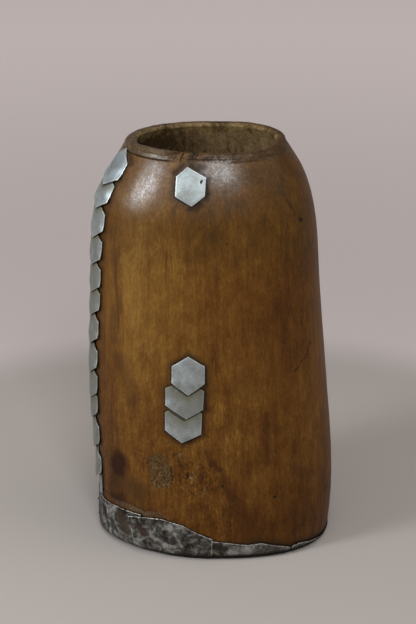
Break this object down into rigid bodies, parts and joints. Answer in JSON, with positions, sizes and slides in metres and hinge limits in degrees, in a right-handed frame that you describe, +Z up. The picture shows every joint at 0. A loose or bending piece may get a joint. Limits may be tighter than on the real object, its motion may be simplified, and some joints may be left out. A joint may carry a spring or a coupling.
{
  "type": "milk container",
  "caption": "Tall oval milk vessel carved from one log, with sheet-metal scales down its side and front and a sheet-metal shoe round its foot.",
  "frame": {"origin": "middle of the overall box at the underside of the shoe, on which the vessel stands", "axes": "+Z up along the vessel's height, -Y the pictured front, +X to its right"},
  "size_m": [0.1807, 0.1451, 0.3],
  "materials": {
    "carved_wood": "oiled, handled wood with a satin patina",
    "scale_metal": "dull hand-cut sheet",
    "tinned_sheet": "worn and stained tinned sheet",
    "iron_tack": "dark rusted iron"
  },
  "bodies": {
    "root": {"column_scale_01": "scale_metal", "column_scale_02": "scale_metal", "column_scale_03": "scale_metal", "column_scale_04": "scale_metal", "column_scale_05": "scale_metal", "column_scale_06": "scale_metal", "column_scale_07": "scale_metal", "column_scale_08": "scale_metal", "column_scale_09": "scale_metal", "column_scale_10": "scale_metal", "column_scale_11": "scale_metal", "column_scale_12": "scale_metal", "column_strip": "scale_metal", "front_scale_lower": "scale_metal", "front_scale_middle": "scale_metal", "front_scale_upper": "scale_metal", "neck_scale": "scale_metal", "shoe_sheet_back": "tinned_sheet", "shoe_sheet_back_left": "tinned_sheet", "shoe_sheet_front": "tinned_sheet", "shoe_sheet_front_right": "tinned_sheet", "shoe_sheet_left": "tinned_sheet", "shoe_sheet_right": "tinned_sheet", "shoe_tack_01": "iron_tack", "shoe_tack_02": "iron_tack", "shoe_tack_03": "iron_tack", "shoe_tack_04": "iron_tack", "shoe_tack_05": "iron_tack", "shoe_tack_06": "iron_tack", "shoe_tack_07": "iron_tack", "shoe_tack_08": "iron_tack", "shoe_tack_09": "iron_tack", "shoe_tack_10": "iron_tack", "shoe_tack_11": "iron_tack", "shoe_tack_12": "iron_tack", "shoe_tack_13": "iron_tack", "shoe_tack_14": "iron_tack", "vessel_body": "carved_wood"}
  },
  "joints": []
}
